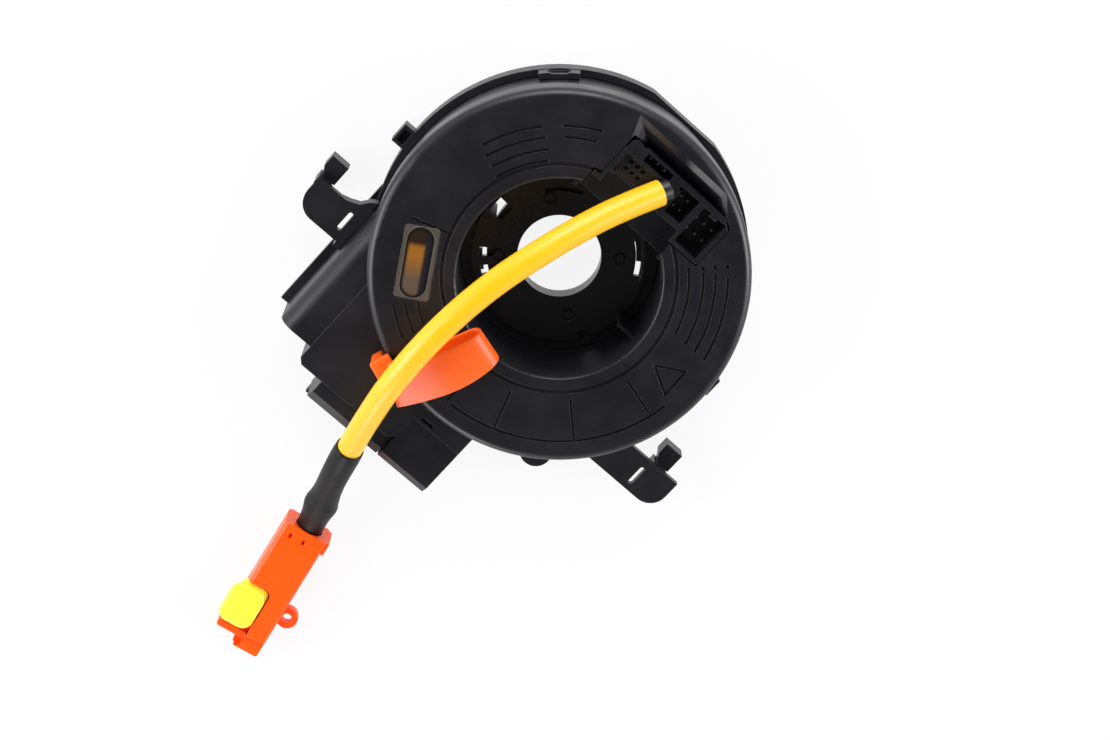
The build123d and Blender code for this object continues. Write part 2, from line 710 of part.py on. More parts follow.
# block where the flat cable's inner end meets the connector, hidden in the tower
cable_block_width = 21.0
cable_block_depth = 2.0
cable_block_front = chord + bowl_wall + seat_gap
with BuildPart() as inner_cable_block:
    with BuildSketch(Plane.XY.offset(hub_low + 0.4)):
        block(-cable_block_width / 2, cable_block_width / 2, cable_block_front,
              cable_block_front + cable_block_depth)
    extrude(amount=cable_width - 3)
inner_cable_block.part.label = "inner_cable_block"
export_step(inner_cable_block.part, "parts/inner_cable_block.step")

# block where the flat cable's outer end meets the harness sockets
with BuildPart() as outer_cable_block:
    with BuildSketch(Plane.XY.offset(base_wall + seat_gap)):
        block(-29.5, 7.0, -59.5, -56.2)
    extrude(amount=cable_width - 2)
outer_cable_block.part.label = "outer_cable_block"
export_step(outer_cable_block.part, "parts/outer_cable_block.step")

# ===========================================================================================
# Airbag lead: sleeved cable from the plug in the pocket to the squib connector
# ===========================================================================================
tube_radius = 3.8
sleeve_radius = 4.3
tube_points = [
    (3.5, 38.4, 37.6),
    (-2.8, 28.1, 42.5),
    (-8.1, 16.8, 47.4),
    (-12.5, 4.7, 51.3),
    (-16.1, -8.3, 53.3),
    (-18.2, -23.8, 52.8),
    (-18.5, -41.5, 51.2),
    (-15.9, -61.5, 43.4),
    (-10.8, -79.3, 30.5),
]
sleeve_points = [
    (-10.76, -79.47, 30.41),
    (-8.0, -90.2, 24.45),
    (-3.3, -102.6, 13.8),
    (0.8, -115.7, 5.7),
]


def minus(end, start):
    """Return the vector between two points."""
    return tuple(a - b for a, b in zip(end, start))


def swept(points, radius):
    """Sweep a round section along straight runs joined by tangent arcs; report the radii."""
    runs = [hypot(*minus(b, a)) for a, b in zip(points, points[1:])]
    bends = []
    for spot in range(1, len(points) - 1):
        before = minus(points[spot], points[spot - 1])
        after = minus(points[spot + 1], points[spot])
        turn = Vector(*before).get_angle(Vector(*after))
        bends.append(0.45 * min(runs[spot - 1], runs[spot]) / tan(radians(turn / 2)))
    first = minus(points[1], points[0])
    with BuildPart() as lead:
        with BuildLine() as spine:
            corner = Vector(*points[0])
            for spot, bend in enumerate(bends, start=1):
                before = Vector(*minus(points[spot], points[spot - 1])).normalized()
                after = Vector(*minus(points[spot + 1], points[spot])).normalized()
                reach = 0.45 * min(runs[spot - 1], runs[spot])
                begin = Vector(*points[spot]) - before * reach
                finish = Vector(*points[spot]) + after * reach
                Line(corner, begin)
                TangentArc(begin, finish, tangent=before)
                corner = finish
            Line(corner, points[-1])
        with BuildSketch(Plane(origin=points[0], z_dir=first)):
            Circle(radius)
        sweep(path=spine.wires()[0])
    length = spine.wires()[0].length
    print("bend radii", [round(bend, 1) for bend in bends], "length", round(length, 1),
          "volume", round(lead.part.volume), "section x length",
          round(length * 3.14159 * radius * radius))
    return lead


lead_tube = swept(tube_points, tube_radius)
lead_tube.part.label = "lead_tube"
export_step(lead_tube.part, "parts/lead_tube.step")

lead_sleeve = swept(sleeve_points, sleeve_radius)
lead_sleeve.part.label = "lead_sleeve"
export_step(lead_sleeve.part, "parts/lead_sleeve.step")

# plug at the lead's upper end, pressed into the switch connector
plug_top = 31.5
tube_start = Vector(*tube_points[0])
tube_aim = Vector(*minus(tube_points[1], tube_points[0])).normalized()
with BuildPart() as lead_plug:
    with BuildSketch(Plane.XY.offset(switch_top - 9.5 + seat_gap)):
        block(-10.0, 6.6, 34.0, 40.1)
    extrude(amount=plug_top - switch_top + 9.5 - seat_gap)
    with BuildSketch(Plane.XY.offset(plug_top)):
        with Locations((-5.2, 37.6)):
            with GridLocations(2.2, 2.4, 3, 2):
                Rectangle(1.2, 1.2)
    extrude(amount=-1.6, mode=Mode.SUBTRACT)
    # elbow behind the sleeve's end
    with BuildSketch(Plane.XY.offset(plug_top - 0.5)):
        block(2.2, 6.6, 38.2, 40.1)
    extrude(amount=3.7)
    with BuildSketch(Plane(origin=tube_start - tube_aim * seat_gap, z_dir=-tube_aim)):
        Circle(tube_radius - 0.4)
    extrude(amount=2.4)
lead_plug.part.label = "lead_plug"
export_step(lead_plug.part, "parts/lead_plug.step")

# ===========================================================================================
# Squib connector at the lead's free end, lying on the resting plane
# ===========================================================================================
squib_rear = (0.1, -114.9, 0)
squib_aim = (0.187, -0.982, 0)
squib_length = 44.3
squib_width = 14.3
squib_height = 12.0
squib_round = 1.5
latch_start = 22.7          # pocket of the lock button, from the rear
latch_length = 16.1         # from the pocket's rear to the lip
latch_floor = 8.4
latch_side = 0.85
button_length = 12.5
button_reach = 9.0
button_top = 13.2
nose_width = 9.0            # the nose goes into the inflator, to one side of the body
nose_length = 5.0
nose_centre = (squib_width - nose_width) / 2
squib_mouth_width = 6.2
squib_mouth_low = 1.6
squib_mouth_top = 7.2
squib_mouth_depth = 14.0
lip_length = 2.2            # rounded lip in front of the lock button
squib_floor = Plane(origin=squib_rear, x_dir=squib_aim, z_dir=(0, 0, 1))
squib_end = Plane(origin=(squib_rear[0] + squib_aim[0] * squib_length,
                          squib_rear[1] + squib_aim[1] * squib_length, 0),
                  x_dir=(squib_aim[1], -squib_aim[0], 0), z_dir=(-squib_aim[0], -squib_aim[1], 0))
mouth_spot = (-nose_centre, (squib_mouth_low + squib_mouth_top) / 2)
sleeve_end = Vector(*sleeve_points[-1])
sleeve_aim = Vector(*minus(sleeve_points[-1], sleeve_points[-2])).normalized()

with BuildPart() as squib_connector:
    with BuildSketch(squib_floor):
        block(0, squib_length - nose_length, -squib_width / 2, squib_width / 2)
    extrude(amount=squib_height)
    fillet(edges().filter_by(Axis((0, 0, 0), squib_aim)), squib_round)
    with BuildSketch(squib_floor.offset(0.4)):
        block(squib_length - nose_length - 1, squib_length, nose_centre - nose_width / 2,
              nose_centre + nose_width / 2 - 0.1)
        fillet(vertices(), 0.8)
    extrude(amount=squib_height - 1.6)
    # collar at the rear
    with BuildSketch(squib_floor.offset(0.8)):
        block(0.3, 4.4, -squib_width / 2 + 1, squib_width / 2 + 0.9)
    extrude(amount=squib_height - 1.8)
    # slots behind the collar
    with BuildSketch(squib_floor.offset(squib_height)):
        with Locations((3.4, -3.7), (3.4, 0.8)):
            Rectangle(1.7, 0.9)
    extrude(amount=-1.2, mode=Mode.SUBTRACT)
    # pocket of the lock button, open at the side, and the lip that ends it
    with BuildSketch(squib_floor.offset(latch_floor)):
        block(latch_start, squib_length, -squib_width, latch_side)
        fillet(vertices().sort_by(Axis((0, 0, 0), squib_aim))[:2], 2.2)
    extrude(amount=squib_height, mode=Mode.SUBTRACT)
    with BuildSketch(squib_floor.offset(1.0)):
        block(latch_start + latch_length, latch_start + latch_length + lip_length,
              -button_reach, latch_side)
        fillet(vertices(), lip_length / 2 - 0.1)
    extrude(amount=squib_height - 2.4)
    # mouth for the inflator
    with BuildSketch(squib_end):
        with Locations(mouth_spot):
            Rectangle(squib_mouth_width, squib_mouth_top - squib_mouth_low)
    extrude(amount=squib_mouth_depth, mode=Mode.SUBTRACT)
    # eye on the side
    with BuildSketch(squib_floor.offset(4.0)):
        block(27.4, 31.8, squib_width / 2 - 0.6, squib_width / 2 + 2)
        with Locations((29.6, squib_width / 2 + 2.1)):
            Circle(3.4)
            Circle(1.5, mode=Mode.SUBTRACT)
    extrude(amount=3.0)
    # seat of the sleeve's end
    with BuildSketch(Plane(origin=sleeve_end + sleeve_aim * seat_gap, z_dir=-sleeve_aim)):
        Circle(sleeve_radius + seat_gap)
    extrude(amount=9.0, mode=Mode.SUBTRACT)
squib_connector.part.label = "squib_connector"
export_step(squib_connector.part, "parts/squib_connector.step")

with BuildPart() as squib_contacts:
    with BuildSketch(squib_end.offset(squib_mouth_depth)):
        with Locations(mouth_spot):
            with GridLocations(3.2, 2, 2, 1):
                Circle(0.9)
    extrude(amount=-squib_mouth_depth + 6)
squib_contacts.part.label = "squib_contacts"
export_step(squib_contacts.part, "parts/squib_contacts.step")

with BuildPart() as lock_button:
    with BuildSketch(squib_floor.offset(latch_floor + run_gap)):
        block(latch_start + run_gap, latch_start + run_gap + button_length,
              -button_reach, latch_side - run_gap)
        fillet(vertices(), 2.4)
    extrude(amount=button_top - latch_floor - run_gap)
    fillet(edges().group_by(Axis.Z)[-1], 1.1)
lock_button.part.label = "lock_button"
export_step(lock_button.part, "parts/lock_button.step")

# ===========================================================================================
# Transport lock: the strap that is pulled out once the steering wheel is on
# ===========================================================================================
band_width = 10.5
band_wall = 1.1
lock_head_near = ring_radius + 0.8
lock_head_far = 59.6
band_origin = (-17.0, -56.4, 36.1)
band_aim = (0.390, 0.921, 0)
band_side = (0.897, -0.380, -0.225)
band_rise = 8.6             # height of the loop
band_length = 33.5


def band_loop(inset, mode=Mode.ADD):
    """Add the strap's drop-shaped outline, drawn in by the inset, to the sketch in hand."""
    begin = (inset * 4.5, inset)
    crest = (band_length * 0.9 - inset * 0.3, band_rise * 0.84 - inset)
    low = (band_length * 0.93 - inset * 0.4, 0.5 + inset)
    with BuildLine() as edge:
        ThreePointArc(begin, (band_length * 0.45, band_rise * 0.8 - inset), crest)
        ThreePointArc(crest, (band_length - inset, band_rise * 0.45), low)
        Line(low, begin)
    make_face(edge.edges(), mode=mode)


with BuildPart() as transport_lock:
    with BuildSketch(Plane(origin=band_origin, x_dir=band_aim, z_dir=band_side)):
        band_loop(0)
        band_loop(band_wall, mode=Mode.SUBTRACT)
    extrude(amount=band_width / 2, both=True)
    # head and pin
    with BuildSketch(Plane(origin=(0, 0, lock_pin_height - 1.6), z_dir=(0, 0, 1),
                           x_dir=(*on_circle(1, lock_angle), 0))):
        block(lock_head_near, lock_head_far, -4.2, 4.2)
    extrude(amount=band_origin[2] + 0.6 - lock_pin_height + 1.6)
    with BuildSketch(Plane(origin=(*on_circle(lock_head_near + 1, lock_angle), lock_pin_height),
                           z_dir=(*on_circle(-1, lock_angle), 0))):
        Circle(lock_pin_radius)
    extrude(amount=lock_head_near + 1 - (drum_outer - 0.6))
transport_lock.part.label = "transport_lock"
export_step(transport_lock.part, "parts/transport_lock.step")

# ===========================================================================================
# Carrier with its rollers, which leads the flat cable's turn-back loop round
# ===========================================================================================
pitch_radius = (outer_pack + inner_pack) / 2 - seat_gap
roller_pin_radius = 1.6
roller_top = cable_top - seat_gap
roller_angles = [window_angle + 360 / roller_count * spot for spot in range(roller_count)]

with BuildPart() as roller_carrier:
    with BuildSketch(Plane.XY.offset(carrier_low)):
        ring(pitch_radius + 4.8, pitch_radius - 5.6)
        for spot in range(8):
            arc_slot(pitch_radius - 0.4, 3.2, spot * 45 + 2, spot * 45 + 23, mode=Mode.SUBTRACT)
    extrude(amount=carrier_top - carrier_low)
    with BuildSketch(Plane.XY.offset(carrier_low)):
        with Locations([on_circle(pitch_radius, angle) for angle in roller_angles]):
            Circle(roller_pin_radius)
    extrude(amount=roller_top - carrier_low)
roller_carrier.part.label = "roller_carrier"
export_step(roller_carrier.part, "parts/roller_carrier.step")

for count, angle in enumerate(roller_angles, start=1):
    with BuildPart() as roller:
        with BuildSketch(Plane.XY.offset(carrier_top + seat_gap)):
            with Locations(on_circle(pitch_radius, angle)):
                Circle(roller_radius)
                Circle(roller_pin_radius + run_gap, mode=Mode.SUBTRACT)
        extrude(amount=roller_top - carrier_top - seat_gap)
    roller.part.label = f"roller_{count}"
    export_step(roller.part, f"parts/roller_{count}.step")

loop_radius = roller_radius + run_gap
with BuildPart() as cable_loop:
    with BuildSketch(Plane.XY.offset(cable_low)):
        with Locations(Location((*on_circle(pitch_radius, window_angle), 0), window_angle)):
            Circle(loop_radius + cable_layer)
            Circle(loop_radius, mode=Mode.SUBTRACT)
            Rectangle(3 * loop_radius, 2 * loop_radius, align=(Align.CENTER, Align.MAX),
                      mode=Mode.SUBTRACT)
        sector(pitch_radius + loop_radius, pitch_radius + loop_radius + cable_layer,
               window_angle - 55, window_angle + 0.2)
        sector(pitch_radius - loop_radius - cable_layer, pitch_radius - loop_radius,
               window_angle - 70, window_angle + 0.2)
    extrude(amount=cable_width)
cable_loop.part.label = "cable_loop"
export_step(cable_loop.part, "parts/cable_loop.step")
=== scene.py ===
"""Steering clock spring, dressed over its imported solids: finishes, lead, strap, lock button.

Lengths are in metres.  MM turns a size in millimetres into metres.
"""
from math import cos, pi, radians, sin

import bpy
import numpy as np
from mathutils import Matrix, Vector


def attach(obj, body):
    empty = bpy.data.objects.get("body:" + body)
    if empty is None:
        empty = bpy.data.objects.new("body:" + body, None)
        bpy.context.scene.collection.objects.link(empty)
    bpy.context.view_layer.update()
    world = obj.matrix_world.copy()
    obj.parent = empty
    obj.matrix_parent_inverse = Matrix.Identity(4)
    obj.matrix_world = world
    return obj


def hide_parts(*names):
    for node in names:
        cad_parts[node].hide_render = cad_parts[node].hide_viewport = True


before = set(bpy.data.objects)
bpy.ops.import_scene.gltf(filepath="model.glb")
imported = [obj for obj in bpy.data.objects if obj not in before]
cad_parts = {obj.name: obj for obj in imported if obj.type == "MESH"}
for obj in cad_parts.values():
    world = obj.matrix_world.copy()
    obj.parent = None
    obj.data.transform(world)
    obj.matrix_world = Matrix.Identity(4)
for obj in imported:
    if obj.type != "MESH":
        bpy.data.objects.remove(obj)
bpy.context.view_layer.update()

MM = 0.001

# --- Driving sizes, in the solids' frame; strap and button pad are softer than the solids --
FACE = 34.0 * MM             # rotor face above the resting plane
TUBE_RADIUS = 3.8 * MM
SLEEVE_RADIUS = 4.3 * MM

# Band of the transport strap, drawn from its root toward the fold at its far end
STRAP_LENGTH = 33.5 * MM
STRAP_RISE = 8.6 * MM
STRAP_WIDTH = 10.5 * MM
STRAP_WALL = 1.1 * MM
STRAP_CORNER = 0.45 * MM     # rounding of the band's section
STRAP_GAP = 0.5 * MM         # under the flat layer, where the fold ends
STRAP_SPREAD = (2.8 * MM, 2.0 * MM)             # band's extra width at its root, to each side
STRAP_SLANT = 4.0 * MM                          # outer corner of the root lies this far back
STRAP_ROOT = np.array((-17.0, -56.4, 36.1)) * MM
STRAP_AIM = np.array((0.390, 0.921, 0.0))
STRAP_SIDE = np.array((0.897, -0.380, -0.225))
STRAP_TWIST = np.array((0.076, 0.175, 0.0))     # change of side from the root to the fold

# Its head outside the skirt, the neck over the rim and the pin through the skirt
LOCK_ANGLE = 250.0           # where the lock enters the skirt
LOCK_HEAD = (3.8 * MM, 8.4 * MM)                # along the radius and across it
LOCK_HEAD_HEIGHT = 9.0 * MM
LOCK_HEAD_SPOT = (57.7 * MM, 27.7 * MM)         # radius and height of its underside's centre
LOCK_NECK = (6.2 * MM, 8.4 * MM)
LOCK_NECK_HEIGHT = 2.7 * MM
LOCK_NECK_SPOT = (56.5 * MM, 34.6 * MM)
LOCK_CORNER = 0.8 * MM
LOCK_EDGE = 0.5 * MM
LOCK_DOME = 0.1 * MM
LOCK_PIN_RADIUS = 1.2 * MM
LOCK_PIN_HEIGHT = 29.3 * MM
LOCK_PIN_REACH = (57.0, 54.6, 54.3, 54.2)       # radii along the pin, in millimetres
LOCK_PIN_TAPER = (1.0, 1.0, 0.85, 0.4)          # pin's thickness there

SQUIB_REAR = np.array((0.1, -114.9, 0.0)) * MM
SQUIB_AIM = np.array((0.187, -0.982, 0.0))
# Lock button of the squib connector: length, width, corner, edge, low, top, centre's x and y
BUTTON_FOOT = np.array((12.4, 9.4, 2.2, 0.3, 8.7, 11.6, 29.3, -4.2)) * MM
BUTTON_PAD = np.array((13.6, 11.2, 3.4, 1.0, 10.85, 13.4, 31.0, -5.2)) * MM
BUTTON_DOME = 0.4 * MM

WINDOW_SPOT = (-33.42 * MM, -23.40 * MM, 0.0)
WINDOW_TURN = 301.3          # the window's long side, turned from x
WINDOW_SLOT_HALF = 6.6 * MM  # from the middle of the slot to the centre of its round end
WINDOW_SLOT_RADIUS = 3.9 * MM

TUBE_ROUTE = [
    (3.5, 38.4, 37.6),
    (-2.8, 28.1, 42.5),
    (-8.1, 16.8, 47.4),
    (-12.5, 4.7, 51.3),
    (-16.1, -8.3, 53.3),
    (-18.2, -23.8, 52.8),
    (-18.5, -41.5, 51.2),
    (-15.9, -61.5, 43.4),
    (-10.8, -79.3, 30.5),
]
SLEEVE_ROUTE = [
    (-10.76, -79.47, 30.41),
    (-8.0, -90.2, 24.45),
    (-3.3, -102.6, 13.8),
    (0.8, -115.7, 5.7),
]
# The sleeve's thickness along its length: place as a share of it, and share of SLEEVE_RADIUS
SLEEVE_KNOTS = (0.0, 0.03, 0.12, 0.40, 0.58, 0.76, 0.88, 1.0)
SLEEVE_WIDTHS = (0.97, 1.03, 1.03, 0.98, 1.00, 1.18, 1.02, 0.98)
# Creases round the sleeve: depth, place, spread, waves round it and their turn in radians
SLEEVE_CREASES = ((0.05, 0.74, 0.05, 2, 0.0), (0.03, 0.70, 0.02, 3, 1.0))


# ============================================================================================
# Materials
# ============================================================================================
def linear(hex_colour):
    """sRGB hex to linear RGBA: c/12.92 below 0.04045, else ((c + 0.055) / 1.055) ** 2.4."""
    values = [int(hex_colour[i:i + 2], 16) / 255 for i in (1, 3, 5)]
    return (*[v / 12.92 if v <= 0.04045 else ((v + 0.055) / 1.055) ** 2.4 for v in values], 1.0)


def add_node(tree, kind, links=None, **settings):
    """Add a node; settings name attributes or sockets, links name the sockets that feed it."""
    node = tree.nodes.new(kind)
    for key, value in settings.items():
        if hasattr(node, key):
            setattr(node, key, value)
        else:
            node.inputs[key].default_value = value
    for socket, source in (links or {}).items():
        tree.links.new(source, node.inputs[socket])
    return node


def map_range(tree, value, source=(0.0, 1.0), target=(0.0, 1.0)):
    """The value's way from source's low to its high end, laid over target and held inside it."""
    node = add_node(tree, "ShaderNodeMapRange", {"Value": value})
    for socket, bound in zip(("From Min", "From Max", "To Min", "To Max"), source + target):
        node.inputs[socket].default_value = bound
    return node.outputs["Result"]


def mix_colours(tree, factor, under, over):
    """Under where factor is 0 and over where it is 1; each is a hex colour or a socket.

    A Mix node has inputs for each kind of data: 6, 7 and output 2 are those for colours.
    """
    node = add_node(tree, "ShaderNodeMix", {"Factor": factor}, data_type="RGBA")
    for socket, colour in ((node.inputs[6], under), (node.inputs[7], over)):
        if isinstance(colour, str):
            socket.default_value = linear(colour)
        else:
            tree.links.new(colour, socket)
    return node.outputs[2]


def blank_material(name):
    """A new material and its node tree, emptied."""
    material = bpy.data.materials.new(name)
    material.use_nodes = True
    material.node_tree.nodes.clear()
    return material, material.node_tree


def moulded_plastic(name, base, tint, roughness, grain_mm=0.35, grain_depth=0.012, ior=1.53,
                    cloud_mm=14.0, sheen_spread=0.06, edge_mm=0.22, **surface):
    """Injection-moulded thermoplastic.

    The tool's spark-eroded texture gives a fine even grain, the melt's flow gives slow
    changes of colour and gloss over a centimetre or two, and a tool's edges are never
    sharp, so the light rolls over every corner.
    """
    material, tree = blank_material(name)
    place = add_node(tree, "ShaderNodeTexCoord").outputs["Object"]
    grain = add_node(tree, "ShaderNodeTexNoise", {"Vector": place},
                     Scale=1 / (grain_mm * MM), Detail=2.0, Roughness=0.55)
    cloud = add_node(tree, "ShaderNodeTexNoise", {"Vector": place},
                     Scale=1 / (cloud_mm * MM), Detail=3.0, Roughness=0.6)
    colour = mix_colours(tree, cloud.outputs["Fac"], base, tint)
    gloss = map_range(tree, cloud.outputs["Fac"], (0.3, 0.7),
                      (roughness - sheen_spread, roughness + sheen_spread))
    edge = add_node(tree, "ShaderNodeBevel", samples=6, Radius=edge_mm * MM)
    bump = add_node(tree, "ShaderNodeBump", {"Height": grain.outputs["Fac"],
                                             "Normal": edge.outputs["Normal"]},
                    Strength=1.0, Distance=grain_depth * MM)
    shader = add_node(tree, "ShaderNodeBsdfPrincipled",
                      {"Base Color": colour, "Roughness": gloss,
                       "Normal": bump.outputs["Normal"]}, IOR=ior, **surface)
    add_node(tree, "ShaderNodeOutputMaterial", {"Surface": shader.outputs["BSDF"]})
    return material


def window_plastic(name):
    """Window with what lies deep below it painted on: a long slot with the cable's loop inside.

    In the window's own s (along) and t (across), the slot's edge is at distance
    d = hypot(max(|s| - S, 0), t) - T, and each zone is a step of s, t or d, softened.  The
    brown at the slot's end and the dark well beside the cable are painted shade of the unlit
    depth under the window.  The plate outside the slot stays clear.
    """
    material = moulded_plastic(name, "#a89a8c", "#b8aca0", 0.16, grain_depth=0.001, ior=1.585)
    tree = material.node_tree
    shader = next(node for node in tree.nodes if node.type == "BSDF_PRINCIPLED")
    plate = shader.inputs["Base Color"].links[0].from_socket
    place = add_node(tree, "ShaderNodeTexCoord").outputs["Object"]
    local = add_node(tree, "ShaderNodeMapping", {"Vector": place}, vector_type="TEXTURE",
                     Location=WINDOW_SPOT, Rotation=(0, 0, radians(WINDOW_TURN)))
    axes = add_node(tree, "ShaderNodeSeparateXYZ", {"Vector": local.outputs[0]})

    def maths(operation, *terms):
        node = add_node(tree, "ShaderNodeMath", operation=operation)
        for socket, term in zip(node.inputs, terms):
            if isinstance(term, bpy.types.NodeSocket):
                tree.links.new(term, socket)
            else:
                socket.default_value = term
        return node.outputs[0]

    def blend(value, low, high, under, over):
        """Under up to value = low, over from value = high on, both in millimetres."""
        return mix_colours(tree, map_range(tree, value, (low * MM, high * MM)), under, over)

    along, across = axes.outputs["X"], axes.outputs["Y"]
    past = maths("MAXIMUM", maths("SUBTRACT", maths("ABSOLUTE", along), WINDOW_SLOT_HALF),
                 0.0)
    spread = maths("SQRT", maths("ADD", maths("MULTIPLY", past, past),
                                 maths("MULTIPLY", across, across)))
    rim = maths("SUBTRACT", spread, WINDOW_SLOT_RADIUS)
    colour = blend(along, -2.0, 5.0, "#9a651f", "#5f4f40")      # amber loop to dull strip
    colour = blend(along, -5.9, -4.3, "#2b1c10", colour)        # brown shade at the slot's end
    colour = blend(across, 1.1, 2.0, colour, "#1d1d23")         # painted shade: dark well beside the cable
    colour = blend(rim, -1.3, -0.4, colour, "#100e0e")          # seat round the slot
    colour = blend(rim, -0.1, 0.3, colour, plate)               # plate outside it
    tree.links.new(colour, shader.inputs["Base Color"])
    clear = map_range(tree, rim, (-0.1 * MM, 0.3 * MM), (0.12, 0.82))
    tree.links.new(clear, shader.inputs["Transmission Weight"])
    return material


def plain_metal(name, base, roughness, scratch_mm=0.12):
    """Tin-plated or brass contact: bright, with fine drawing lines that vary the gloss."""
    material, tree = blank_material(name)
    place = add_node(tree, "ShaderNodeTexCoord").outputs["Object"]
    lines = add_node(tree, "ShaderNodeTexNoise", {"Vector": place},
                     Scale=1 / (scratch_mm * MM), Detail=1.0)
    gloss = map_range(tree, lines.outputs["Fac"],
                      target=(roughness - 0.08, roughness + 0.12))
    shader = add_node(tree, "ShaderNodeBsdfPrincipled", {"Roughness": gloss}, Metallic=1.0,
                      **{"Base Color": linear(base)})
    add_node(tree, "ShaderNodeOutputMaterial", {"Surface": shader.outputs["BSDF"]})
    return material


# Near-black mouldings, from a spark-eroded tool's grain to a smooth satin.
CASE_BLACK = moulded_plastic("glass_filled_pbt_black", "#0d0c12", "#14131a", 0.40)
ROTOR_BLACK = moulded_plastic("pom_black_grained", "#0c0b11", "#131219", 0.37)
HUB_BLACK = moulded_plastic("pom_black_smooth", "#09090d", "#0f0e14", 0.30, grain_depth=0.004)
SOCKET_BLACK = moulded_plastic("pbt_black_satin", "#0c0b10", "#121118", 0.34,
                               grain_depth=0.006)
# Soft PVC sheath: warm yellow, with a dull shine.
PVC_YELLOW = moulded_plastic("soft_pvc_yellow", "#f0b60a", "#f7c212", 0.34, grain_mm=0.6,
                             grain_depth=0.006, cloud_mm=9.0)
# Heat-shrink polyolefin: dull black that follows what is under it.
SHRINK_BLACK = moulded_plastic("heat_shrink_black", "#070609", "#0c0b10", 0.50, grain_mm=0.5,
                               grain_depth=0.01, **{"Specular IOR Level": 0.22})
# Unfilled plastics of the plug, the strap and the lock button: bright and smooth.
SQUIB_ORANGE = moulded_plastic("pbt_safety_orange", "#fb5002", "#ff5c06", 0.36, grain_mm=0.4,
                               grain_depth=0.004, **{"Specular IOR Level": 0.35})
STRAP_ORANGE = moulded_plastic("polypropylene_orange", "#fd5a0c", "#ff6a18", 0.38,
                               grain_mm=0.4, grain_depth=0.004)
BUTTON_YELLOW = moulded_plastic("pbt_pale_yellow", "#f6e62e", "#fdf04a", 0.34, grain_mm=0.4,
                                grain_depth=0.004)
# What is inside the drum, and the clear window above it.
ROLLER_WHITE = moulded_plastic("pom_natural_white", "#e6e4da", "#efede4", 0.32,
                               grain_depth=0.003)
FILM_AMBER = moulded_plastic("polyester_film_amber", "#c47a22", "#d68f32", 0.22, grain_mm=1.2,
                             grain_depth=0.002, cloud_mm=5.0)
FILM_WHITE = moulded_plastic("slip_film_white", "#e2e2de", "#ececea", 0.35, grain_mm=1.0,
                             grain_depth=0.002)
# Its slot shows the cable, with painted shade of the unlit depth beside and beyond it.
LENS_CLEAR = window_plastic("polycarbonate_window")
# Contacts.
PIN_TIN = plain_metal("tin_plated_pin", "#8f8b84", 0.34)
CONTACT_BRASS = plain_metal("plated_brass", "#d9b76c", 0.30)

# Material of each solid
FINISH = {
    "base_plate": CASE_BLACK, "drum_case": CASE_BLACK, "harness_socket": SOCKET_BLACK,
    "main_pins": PIN_TIN, "second_pins": PIN_TIN, "switch_pins": PIN_TIN,
    "slip_sheet": FILM_WHITE, "cable_on_drum": FILM_AMBER, "cable_on_hub": FILM_AMBER,
    "cable_loop": FILM_AMBER, "outer_cable_block": SOCKET_BLACK,
    "inner_cable_block": SOCKET_BLACK, "rotor_face": ROTOR_BLACK, "rotor_hub": HUB_BLACK,
    "cancel_cam": HUB_BLACK, "window_lens": LENS_CLEAR, "switch_connector": SOCKET_BLACK,
    "lead_plug": SOCKET_BLACK, "lead_tube": PVC_YELLOW, "lead_sleeve": SHRINK_BLACK,
    "squib_connector": SQUIB_ORANGE, "squib_contacts": CONTACT_BRASS,
    "lock_button": BUTTON_YELLOW, "transport_lock": STRAP_ORANGE,
    "roller_carrier": ROLLER_WHITE, "roller_1": ROLLER_WHITE, "roller_2": ROLLER_WHITE,
    "roller_3": ROLLER_WHITE, "roller_4": ROLLER_WHITE,
}
for node_name, finish in FINISH.items():
    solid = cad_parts[node_name]
    for material_slot in solid.material_slots:
        material_slot.material = finish


# ============================================================================================
# Pieces
# ============================================================================================
def linked_object(name, data):
    """A new object of the data, linked to the scene."""
    thing = bpy.data.objects.new(name, data)
    bpy.context.collection.objects.link(thing)
    return thing


def grid_mesh(name, grids, finish, smooth=True):
    """A mesh of grids (points[u, v], close_u, close_v, caps), each joined into quads.

    A closed direction joins its last row to its first; caps closes the first and last rows
    of u with a face each.
    """
    vertices, faces = [], []
    for points, close_u, close_v, caps in grids:
        rows, columns = points.shape[:2]
        index = np.arange(rows * columns).reshape(rows, columns) + len(vertices)
        if close_u:
            index = np.vstack([index, index[:1]])
        if close_v:
            index = np.hstack([index, index[:, :1]])
        quads = np.stack([index[:-1, :-1], index[:-1, 1:], index[1:, 1:], index[1:, :-1]], -1)
        faces += quads.reshape(-1, 4).tolist()
        if caps:
            faces += [index[0, :columns][::-1].tolist(), index[-1, :columns].tolist()]
        vertices += points.reshape(-1, 3).tolist()
    mesh = bpy.data.meshes.new(name)
    mesh.from_pydata(vertices, [], faces)
    mesh.materials.append(finish)
    if smooth:
        mesh.shade_smooth()
    return linked_object(name, mesh)


def unit(vector):
    """The vector at length one."""
    return np.asarray(vector, dtype=float) / np.linalg.norm(vector)


def rounded_rectangle(length, width, radius, steps=6):
    """Outline: four corner centres, each with a quarter circle radius (cos a, sin a) round it.

    The corner centres stand at (+-(length / 2 - radius), +-(width / 2 - radius)).
    """
    quarter = np.linspace(0, pi / 2, steps)
    corner = np.repeat(np.arange(4), steps)
    angle = np.tile(quarter, 4) + corner * pi / 2
    sign = np.array([(1, 1), (-1, 1), (-1, -1), (1, -1)])[corner]
    centre = sign * (length / 2 - radius, width / 2 - radius)
    return centre + radius * np.stack([np.cos(angle), np.sin(angle)], axis=-1)


